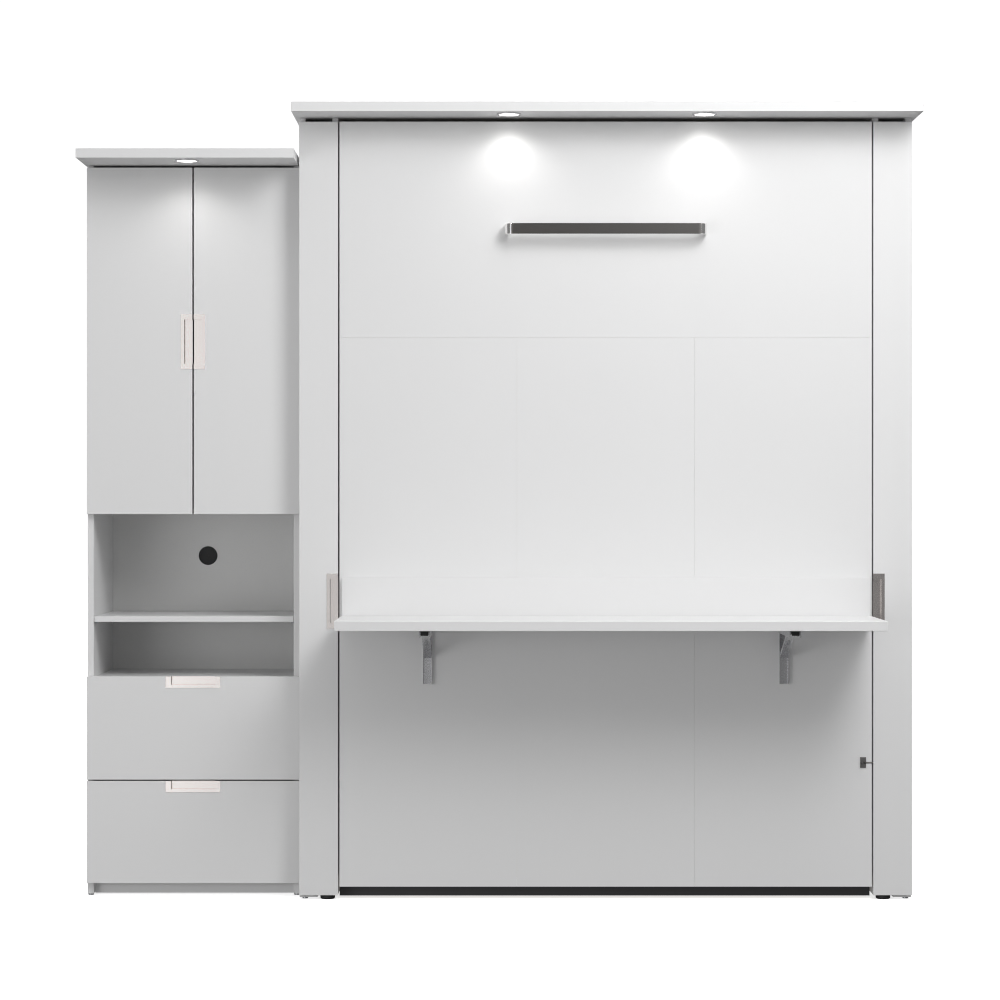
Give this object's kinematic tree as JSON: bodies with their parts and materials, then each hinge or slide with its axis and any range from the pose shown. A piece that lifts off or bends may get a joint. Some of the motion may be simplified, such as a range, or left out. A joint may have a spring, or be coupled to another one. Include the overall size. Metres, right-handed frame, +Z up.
{
  "type": "wall bed",
  "caption": "White upright wall bed with a fold-out desk on its face, storage pillars, lit crown shelf and a side tower with cupboard, open niche and drawers.",
  "frame": {"origin": "on the floor, in the middle of the outline of bed and tower together", "axes": "+X to the right along the wall, +Y into the wall, +Z up; the fronts face -Y"},
  "size_m": [2.215, 0.824, 2.098],
  "materials": {
    "white_laminate": "satin",
    "white_hardboard": "matte",
    "drawer_board": "satin",
    "charcoal_laminate": "satin",
    "frame_wood": "matte",
    "slat_wood": "matte",
    "ticking": "matte",
    "webbing": "matte",
    "black_plastic": "satin",
    "zinc": "satin",
    "dark_steel": "satin",
    "bearing_bronze": "satin",
    "strut_rod": "polished",
    "chrome": "polished",
    "satin_nickel": "satin",
    "brushed_handle": "satin",
    "light_lens": "gloss"
  },
  "bodies": {
    "cabinet": {"bed_crown": "white_laminate", "gable_left": "white_laminate", "gable_right": "white_laminate", "inner_panel_left": "white_laminate", "inner_panel_right": "white_laminate", "pillar_boards": "white_laminate", "back_rails": "white_laminate", "bed_back": "white_hardboard", "kick_board": "charcoal_laminate", "levelers": "black_plastic", "nail_glides": "zinc", "pivot_bushes": "bearing_bronze", "strut_brackets": "zinc", "light_pucks": "chrome", "light_lenses": "light_lens", "tower_sides": "white_laminate", "tower_crown": "white_laminate", "tower_decks": "white_laminate", "tower_back": "white_hardboard", "cable_grommet": "black_plastic", "cupboard_shelves": "white_laminate", "niche_shelf": "white_laminate", "shelf_pins": "zinc", "tower_kick": "white_laminate", "fixed_runners": "zinc"},
    "bed_leaf": {"face_top_board": "white_laminate", "face_left_board": "white_laminate", "face_centre_board": "white_laminate", "face_right_board": "white_laminate", "leaf_frame": "frame_wood", "slats": "slat_wood", "mattress": "ticking", "mattress_straps": "webbing", "pivot_gear": "dark_steel", "bow_handle": "brushed_handle", "desk_apron": "white_laminate", "bracket_channels": "chrome", "latch_block": "brushed_handle"},
    "desk": {"desk_top": "white_laminate", "bracket_arms": "chrome"},
    "desk_struts": {"bracket_struts": "chrome"},
    "lever_left": {"release_lever_left": "black_plastic"},
    "lever_right": {"release_lever_right": "black_plastic"},
    "latch": {"latch_bolt": "brushed_handle"},
    "gas_cylinders": {"gas_cylinders": "dark_steel"},
    "gas_rods": {"gas_rods": "strut_rod"},
    "pillar_door_left": {"pillar_door_left": "white_laminate", "pillar_pull_left": "satin_nickel"},
    "pillar_door_right": {"pillar_door_right": "white_laminate", "pillar_pull_right": "satin_nickel"},
    "tower_door_left": {"tower_door_left": "white_laminate", "tower_pull_left": "satin_nickel"},
    "tower_door_right": {"tower_door_right": "white_laminate", "tower_pull_right": "satin_nickel"},
    "upper_drawer": {"upper_drawer_front": "white_laminate", "upper_drawer_box": "drawer_board", "upper_drawer_pull": "satin_nickel"},
    "lower_drawer": {"lower_drawer_front": "white_laminate", "lower_drawer_box": "drawer_board", "lower_drawer_pull": "satin_nickel"}
  },
  "joints": [
    {"name": "bed_fold", "type": "hinge", "parent": "cabinet", "child": "bed_leaf", "pos_m": [0.2825, 0.002, 0.3], "axis": [1, 0, 0], "range_deg": [0, 90], "stiffness_Nm_per_rad": 400},
    {"name": "desk_fold", "type": "hinge", "parent": "bed_leaf", "child": "desk", "pos_m": [0.2825, -0.068, 0.716], "axis": [1, 0, 0], "range_deg": [0, 90]},
    {"name": "desk_strut_fold", "type": "hinge", "parent": "bed_leaf", "child": "desk_struts", "pos_m": [0.2825, -0.066, 0.646], "axis": [1, 0, 0], "range_deg": [0, 111.4]},
    {"name": "lever_left_press", "type": "hinge", "parent": "desk", "child": "lever_left", "pos_m": [-0.1895, -0.335, 0.719], "axis": [1, 0, 0], "range_deg": [0, 12], "stiffness_Nm_per_rad": 0.1, "springref_deg": -11.46},
    {"name": "lever_right_press", "type": "hinge", "parent": "desk", "child": "lever_right", "pos_m": [0.7545, -0.335, 0.719], "axis": [1, 0, 0], "range_deg": [0, 12], "stiffness_Nm_per_rad": 0.1, "springref_deg": -11.46},
    {"name": "latch_throw", "type": "slide", "parent": "bed_leaf", "child": "latch", "axis": [1, 0, 0], "range_m": [0, 0.008]},
    {"name": "gas_strut_swing", "type": "hinge", "parent": "cabinet", "child": "gas_cylinders", "pos_m": [0.2825, 0.0453, 0.56], "axis": [1, 0, 0], "range_deg": [0, 21.5]},
    {"name": "gas_rod_slide", "type": "slide", "parent": "gas_cylinders", "child": "gas_rods", "axis": [0, -0.025, -0.9997], "range_m": [-0.1455, 0]},
    {"name": "pillar_door_left_swing", "type": "hinge", "parent": "cabinet", "child": "pillar_door_left", "pos_m": [-0.53, -0.058, 1.036], "axis": [0, 0, -1], "range_deg": [0, 90]},
    {"name": "pillar_door_right_swing", "type": "hinge", "parent": "cabinet", "child": "pillar_door_right", "pos_m": [1.095, -0.058, 1.036], "axis": [0, 0, 1], "range_deg": [0, 90]},
    {"name": "tower_door_left_swing", "type": "hinge", "parent": "cabinet", "child": "tower_door_left", "pos_m": [-1.1025, 0.007, 1.484], "axis": [0, 0, -1], "range_deg": [0, 105]},
    {"name": "tower_door_right_swing", "type": "hinge", "parent": "cabinet", "child": "tower_door_right", "pos_m": [-0.5345, 0.007, 1.484], "axis": [0, 0, 1], "range_deg": [0, 90]},
    {"name": "upper_drawer_slide", "type": "slide", "parent": "cabinet", "child": "upper_drawer", "axis": [0, -1, 0], "range_m": [0, 0.3]},
    {"name": "lower_drawer_slide", "type": "slide", "parent": "cabinet", "child": "lower_drawer", "axis": [0, -1, 0], "range_m": [0, 0.3]}
  ],
  "couplings": [
    {"joint": "desk_strut_fold", "follows": "desk_fold", "ratio": 1.2365},
    {"joint": "gas_strut_swing", "follows": "bed_fold", "ratio": 0.23787},
    {"joint": "gas_rod_slide", "follows": "bed_fold", "m_per_rad": -0.092215}
  ]
}
